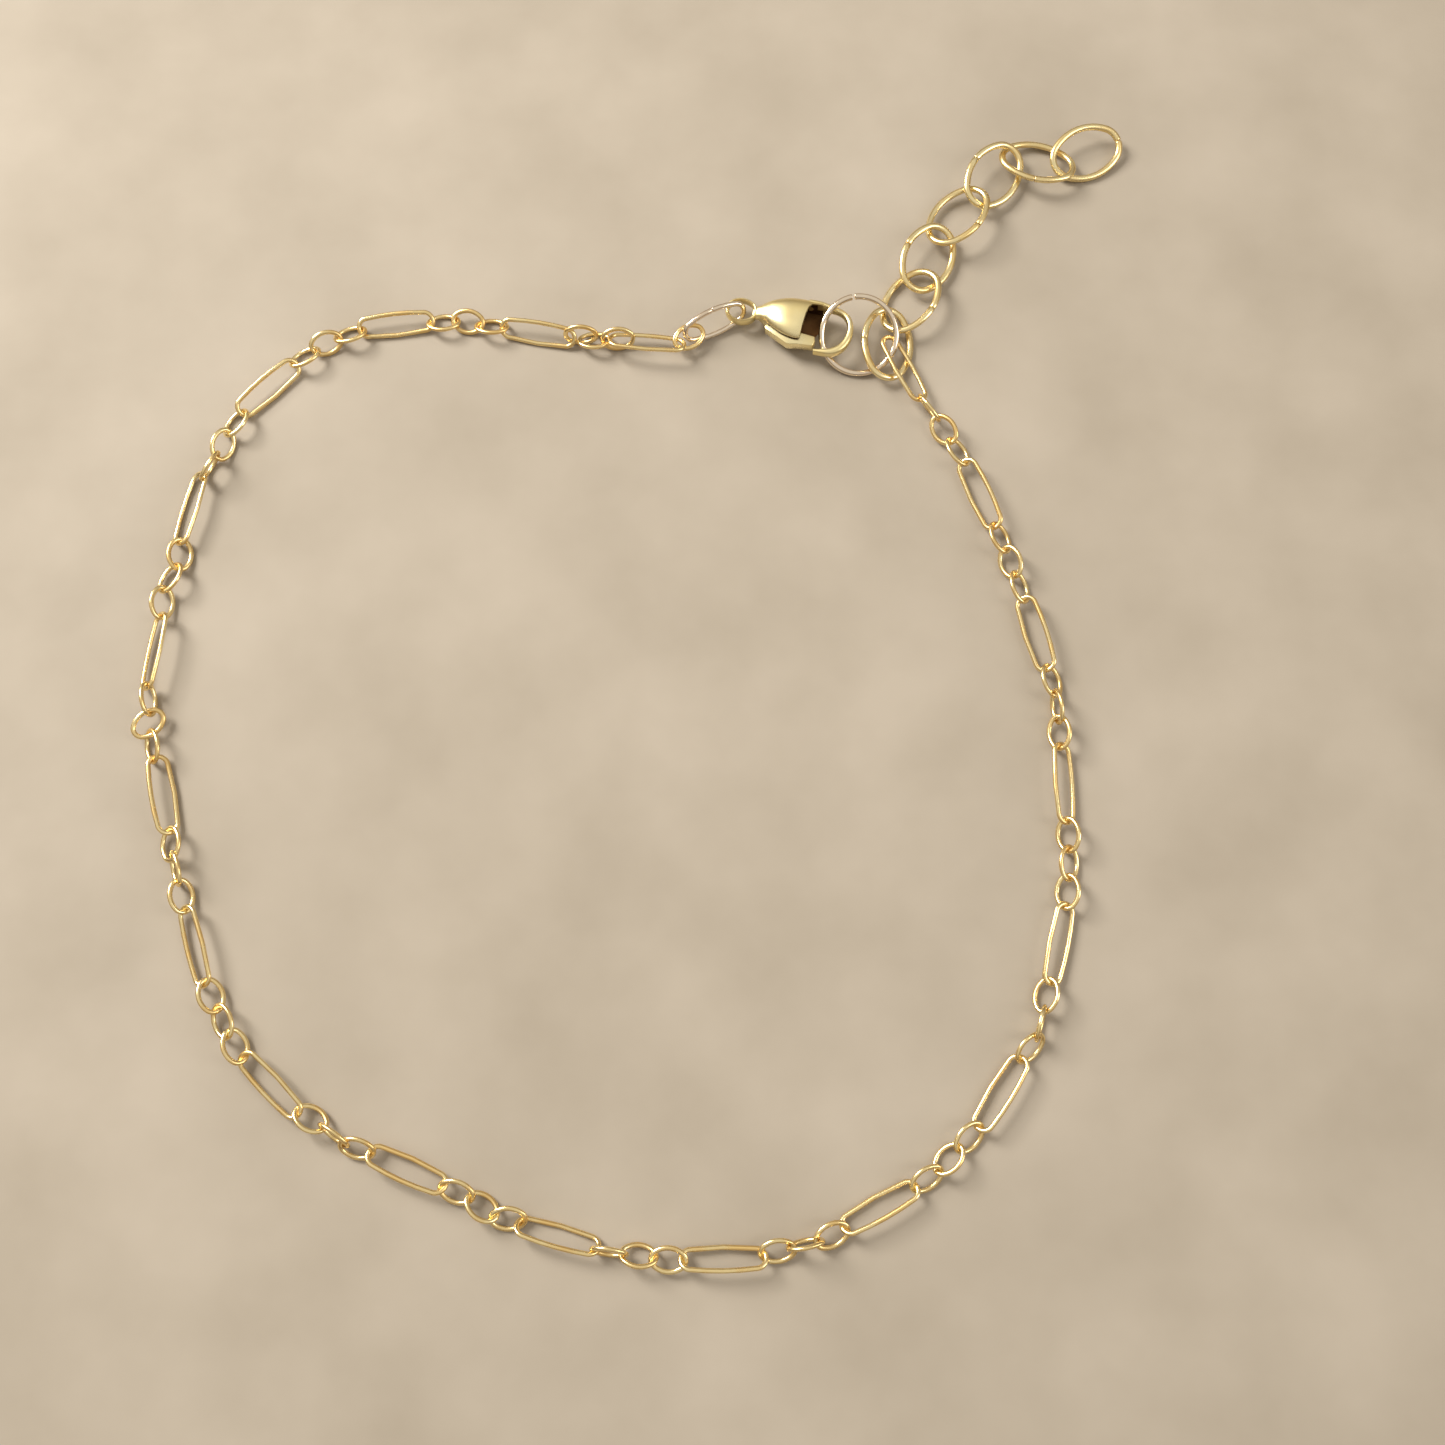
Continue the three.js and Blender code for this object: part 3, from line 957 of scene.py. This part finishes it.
    def _shell(self, satin: bpy.types.Material, dark: bpy.types.Material) -> bmesh.types.BMesh:
        """The hollow shell with its mouth cut in the upper wall, in the clasp's frame.

        Args:
            satin: finish of the outside.
            dark: painted shade for the faces inside the hollow.

        Returns:
            The shell's mesh: material 0 outside, 1 the painted shade inside the hollow.
        """
        frames = []
        rows = [(s.x, s.low, s.high, s.half) for s in self.SHELL]
        for x, low, high, half in eased_rows(rows, self.FILL):
            size = Matrix.Diagonal((1, (high - low) / 2, half, 1))
            frames.append(Matrix.Translation((x, (low + high) / 2, 0)) @ size)
        shell = self._as_object("shell_work", self._drawn(self.SHELL_SIDES, self.square, frames), satin)
        hollow = self._plate(self.HOLLOW, -self.hollow_half, self.hollow_half)
        for vert in hollow.verts:
            if vert.co.x < self.neck_end:
                vert.co.z *= self.neck_slim
        cutters = (
            self._as_object("mouth_work", self._plate(self.MOUTH, 0, self.cutter_height), satin),
            self._as_object("hollow_work", hollow, dark),
        )
        # The hollow's cutter hands its painted shade to the faces that it cuts.
        for cutter in cutters:
            cut = shell.modifiers.new("cut", "BOOLEAN")
            cut.operation = "DIFFERENCE"
            cut.solver = "EXACT"
            cut.material_mode = "TRANSFER"
            cut.object = cutter
        rim = shell.modifiers.new("rim", "BEVEL")
        rim.width = self.edge
        rim.segments = self.SHELL_EDGE_STEPS
        rim.limit_method = "ANGLE"
        rim.angle_limit = math.radians(self.CUT_ANGLE)
        graph = bpy.context.evaluated_depsgraph_get()
        made = bpy.data.meshes.new_from_object(shell.evaluated_get(graph))
        result = bmesh.new()
        result.from_mesh(made)
        numbers = [int(slot is not None and slot.name == dark.name) for slot in made.materials]
        for face in result.faces:
            face.material_index = numbers[face.material_index]
        for worked in (shell, *cutters):
            data = worked.data
            bpy.data.objects.remove(worked)
            bpy.data.meshes.remove(data)
        bpy.data.meshes.remove(made)
        return result

    def _hook(self) -> bmesh.types.BMesh:
        """The hook: a rounded section drawn along its stations.

        Returns:
            The hook's mesh, closed at its tip.
        """
        rows = eased_rows([(s.x, s.y, s.width, s.height) for s in self.HOOK], self.FILL)
        frames = []
        for i, (x, y, width, height) in enumerate(rows):
            before, after = rows[max(0, i - 1)], rows[min(len(rows) - 1, i + 1)]
            heading = math.atan2(after[1] - before[1], after[0] - before[0])
            frames.append(
                Matrix.Translation((x, y, 0))
                @ Matrix.Rotation(heading, 4, "Z")
                @ Matrix.Diagonal((1, width / 2, height / 2, 1)))
        return self._drawn(self.HOOK_SIDES, self.square, frames)

    def _eye(self) -> bmesh.types.BMesh:
        """The eye: a rounded band spun into a ring and drawn out into an oval.

        Returns:
            The eye's mesh.
        """
        eye = bmesh.new()
        disc = bmesh.ops.create_circle(eye, segments=self.EYE_SIDES, radius=0.5)
        band = (
            Matrix.Translation((1, 0, 0))
            @ Matrix.Rotation(math.pi / 2, 4, "X")
            @ Matrix.Diagonal((self.eye_band, self.eye_height, 1, 1)))
        bmesh.ops.transform(eye, matrix=band, verts=disc["verts"])
        bmesh.ops.spin(
            eye, geom=list(eye.verts) + list(eye.edges), cent=(0, 0, 0), axis=(0, 0, 1),
            angle=2 * math.pi, steps=self.EYE_STEPS, use_merge=True)
        bmesh.ops.remove_doubles(eye, verts=eye.verts, dist=MERGE_GAP)
        oval = Matrix.Translation((*self.eye_middle, 0)) @ Matrix.Diagonal((*self.eye_half, 1, 1))
        bmesh.ops.transform(eye, matrix=oval, verts=eye.verts)
        bmesh.ops.recalc_face_normals(eye, faces=eye.faces)
        return eye

    def _lever(self) -> bmesh.types.BMesh:
        """The lever: gate, arm and thumb tab in one rounded plate.

        Returns:
            The lever's mesh.
        """
        lever = self._plate(self.LEVER, -self.lever_half, self.lever_half)
        bmesh.ops.bevel(
            lever, geom=list(lever.edges), offset=self.lever_round, offset_type="OFFSET",
            segments=self.LEVER_EDGE_STEPS, profile=0.5, affect="EDGES", material=-1)
        return lever

    def build(self) -> None:
        """Build the clasp's pieces in place."""
        satin = self.smith.material(CLASP_GOLD)
        # The faces inside the hollow get a near-black painted shade.
        dark = self.smith.material(HOLLOW_PAINTED_SHADE)
        for name, mesh, finishes, sharp in (
            ("clasp_shell", self._shell(satin, dark), (satin, dark), self.SHELL_SHARP),
            ("clasp_hook", self._hook(), (satin,), self.DRAWN_SHARP),
            ("clasp_eye", self._eye(), (satin,), self.DRAWN_SHARP),
        ):
            bmesh.ops.transform(mesh, matrix=self.place, verts=mesh.verts)
            replaced = ("clasp_body",) if name == "clasp_shell" else ()
            set_piece(name, mesh, finishes, replaces=replaced, sharp=sharp)
        lever = self._lever()
        bmesh.ops.transform(lever, matrix=self.place, verts=lever.verts)
        set_piece(
            "clasp_gate_lever", lever, (satin,), Body.LEVER, ("clasp_lever",),
            self.LEVER_SHARP)


# Studio

@dataclass(frozen=True)
class SoftBox:
    """A soft rectangular light.

    Args:
        name: its name.
        place: where it hangs, in metres.
        size: width and height, in metres.
        power: in watts.
        colour: its colour.
    """

    name: str
    place: tuple[float, float, float]
    size: tuple[float, float]
    power: float
    colour: tuple[float, float, float]


@dataclass
class Studio:
    """Camera, pale floor and soft light.

    Args:
        lens: focal length, in millimetres on a sensor of sensor_width.
        sensor_width: width of the sensor, in millimetres.
        camera_place: where the camera hangs, in metres.
        camera_tilt: its tilt from straight down.
        near_clip: nearest distance that it sees, in metres.
        floor_side: side of the floor, in metres.
        floor_roughness: roughness of the floor.
        floor_dark: colour of the floor's darker clouds.
        floor_light: colour of its lighter ones.
        room_strength: brightness of the room.
        room_low: colour of the room near the horizon.
        room_high: colour of the room overhead.
        boxes: the soft boxes.
    """

    lens: float = 36.0
    camera_place: tuple[float, float, float] = (0.0051, -0.0254, 0.0907)
    camera_tilt: float = 13.0
    sensor_width: float = 36.0
    near_clip: float = 0.001
    floor_side: float = 2.4
    floor_roughness: float = 0.75
    floor_dark: tuple[float, float, float] = (0.33, 0.285, 0.225)
    floor_light: tuple[float, float, float] = (0.40, 0.35, 0.285)
    room_strength: float = 0.7
    room_low: tuple[float, float, float] = (0.22, 0.14, 0.07)
    room_high: tuple[float, float, float] = (1.0, 0.93, 0.82)
    boxes: tuple[SoftBox, ...] = (
        SoftBox("window_left", (-0.26, 0.20, 0.26), (0.16, 0.20), 2.6, (1.0, 0.96, 0.90)),
        SoftBox("window_right", (0.34, -0.04, 0.24), (0.14, 0.30), 0.5, (1.0, 0.96, 0.90)),
    )

    CLOUD_SCALE = 90.0
    CLOUD_DETAIL = 4.0
    CLOUD_RANGE = (0.3, 0.7)
    ROOM_RANGE = (0.1, 0.8)

    @staticmethod
    def _ramp(
        nodes: bpy.types.Nodes, stops: tuple[float, float], colours: tuple[tuple[float, float, float], ...],
    ) -> bpy.types.ShaderNode:
        """Add a colour ramp of two stops.

        Args:
            nodes: the node tree's nodes.
            stops: where the stops are.
            colours: their colours.

        Returns:
            The ramp.
        """
        ramp = nodes.new("ShaderNodeValToRGB")
        for element, stop, colour in zip(ramp.color_ramp.elements, stops, colours):
            element.position = stop
            element.color = (*colour, 1)
        return ramp

    def camera(self) -> None:
        """Set up the camera over the bracelet, looking down with a small tilt."""
        data = bpy.data.cameras.new("camera")
        data.lens = self.lens
        data.sensor_width = self.sensor_width
        data.clip_start = self.near_clip
        camera = bpy.data.objects.new("camera", data)
        camera.location = self.camera_place
        camera.rotation_euler = (math.radians(self.camera_tilt), 0, 0)
        bpy.context.scene.collection.objects.link(camera)
        bpy.context.scene.camera = camera

    def floor(self) -> None:
        """Lay a plain pale floor under the bracelet."""
        sheet = bmesh.new()
        bmesh.ops.create_grid(sheet, x_segments=1, y_segments=1, size=self.floor_side / 2)
        data = bpy.data.meshes.new("floor")
        sheet.to_mesh(data)
        sheet.free()
        floor = bpy.data.objects.new("floor", data)
        material = bpy.data.materials.new("pale_floor")
        material.use_nodes = True
        nodes, links = material.node_tree.nodes, material.node_tree.links
        shader = nodes["Principled BSDF"]
        shader.inputs["Roughness"].default_value = self.floor_roughness
        where = nodes.new("ShaderNodeTexCoord")
        cloud = nodes.new("ShaderNodeTexNoise")
        cloud.inputs["Scale"].default_value = self.CLOUD_SCALE
        cloud.inputs["Detail"].default_value = self.CLOUD_DETAIL
        ramp = self._ramp(nodes, self.CLOUD_RANGE, (self.floor_dark, self.floor_light))
        links.new(where.outputs["Object"], cloud.inputs["Vector"])
        links.new(cloud.outputs["Fac"], ramp.inputs["Fac"])
        links.new(ramp.outputs["Color"], shader.inputs["Base Color"])
        data.materials.append(material)
        bpy.context.scene.collection.objects.link(floor)

    def light(self) -> None:
        """Hang the soft boxes and shade the room from dark at the horizon to bright overhead."""
        for box in self.boxes:
            data = bpy.data.lights.new(box.name, "AREA")
            data.shape = "RECTANGLE"
            data.size, data.size_y = box.size
            data.energy = box.power
            data.color = box.colour
            lamp = bpy.data.objects.new(box.name, data)
            lamp.location = box.place
            lamp.rotation_euler = (-Vector(box.place)).to_track_quat("-Z", "Y").to_euler()
            lamp.visible_camera = False
            bpy.context.scene.collection.objects.link(lamp)
        world = bpy.data.worlds.new("room")
        world.use_nodes = True
        nodes, links = world.node_tree.nodes, world.node_tree.links
        background = nodes["Background"]
        background.inputs["Strength"].default_value = self.room_strength
        where = nodes.new("ShaderNodeTexCoord")
        parts = nodes.new("ShaderNodeSeparateXYZ")
        ramp = self._ramp(nodes, self.ROOM_RANGE, (self.room_low, self.room_high))
        links.new(where.outputs["Generated"], parts.inputs["Vector"])
        links.new(parts.outputs["Z"], ramp.inputs["Fac"])
        links.new(ramp.outputs["Color"], background.inputs["Color"])
        bpy.context.scene.world = world
        bpy.context.scene.view_settings.view_transform = "Standard"

    def build(self) -> None:
        """Set the whole studio up."""
        self.camera()
        self.floor()
        self.light()


def main() -> None:
    """Build the bracelet piece by piece."""
    logging.basicConfig(level=logging.INFO, format="%(name)s: %(message)s")
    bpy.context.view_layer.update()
    Studio().build()
    layout = Layout()
    smith = GoldSmith()
    Chain(layout.chain, smith).build()
    Extender(layout.extender, smith).build()
    Rings(layout.jump_ring, layout.oval_ring, smith).build()
    LobsterClasp(smith).build()


if __name__ == "__main__":
    main()
